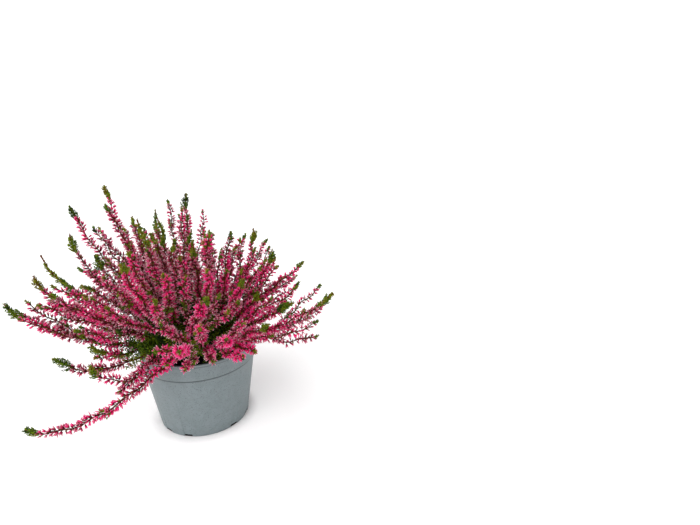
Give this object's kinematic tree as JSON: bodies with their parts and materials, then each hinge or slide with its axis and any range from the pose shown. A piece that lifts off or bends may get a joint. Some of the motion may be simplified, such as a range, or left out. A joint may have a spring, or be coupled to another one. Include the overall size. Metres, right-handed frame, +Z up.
{
  "type": "potted heather",
  "caption": "Pink-flowering heather with long spikes and green leafy tips, growing out of a round tapered plastic nursery pot.",
  "frame": {"origin": "centre of the pot's foot, on the surface that the pot stands on", "axes": "+Z up out of the pot, -Y towards the viewer of the picture, +X to the viewer's right"},
  "size_m": [0.2868, 0.2739, 0.2421],
  "materials": {
    "pot_plastic": "matte light blue-grey, faintly speckled",
    "compost": "dark crumbly peat, dull",
    "bark": "red-brown thin bark, dull",
    "leaf": "scaly evergreen leaf, satin",
    "floret": "papery pink petals, soft sheen"
  },
  "bodies": {
    "root": {"pot": "pot_plastic", "root_ball": "compost", "cutting_1": "bark", "cutting_2": "bark", "cutting_3": "bark", "cutting_4": "bark", "spray_01": "floret", "spray_02": "floret", "spray_03": "floret", "spray_04": "floret", "spray_05": "floret", "spray_06": "floret", "spray_07": "floret", "spray_08": "floret", "spray_09": "floret", "spray_10": "floret", "spray_11": "floret", "spray_12": "floret", "spray_13": "floret", "spray_14": "floret", "spray_15": "floret", "spray_16": "floret", "spray_17": "floret", "spray_18": "floret", "spray_19": "floret", "spray_20": "floret", "spray_21": "floret", "spray_22": "floret", "spray_23": "floret", "spray_24": "floret", "spray_25": "floret", "spray_26": "floret", "spray_27": "floret", "spray_28": "floret", "spray_29": "floret", "spray_30": "floret", "spray_31": "floret", "spray_32": "floret", "spray_33": "floret", "spray_34": "floret", "spray_35": "floret", "spray_36": "floret", "spray_37": "floret", "spray_38": "floret", "spray_39": "floret", "spray_40": "floret", "spray_41": "floret", "spray_42": "floret", "spray_43": "floret", "spray_44": "floret", "spray_45": "floret", "spray_46": "floret", "spray_47": "floret", "spray_48": "floret", "spray_49": "floret", "spray_50": "floret", "spray_51": "floret", "spray_52": "floret", "spray_53": "floret", "spray_54": "floret"}
  },
  "joints": []
}
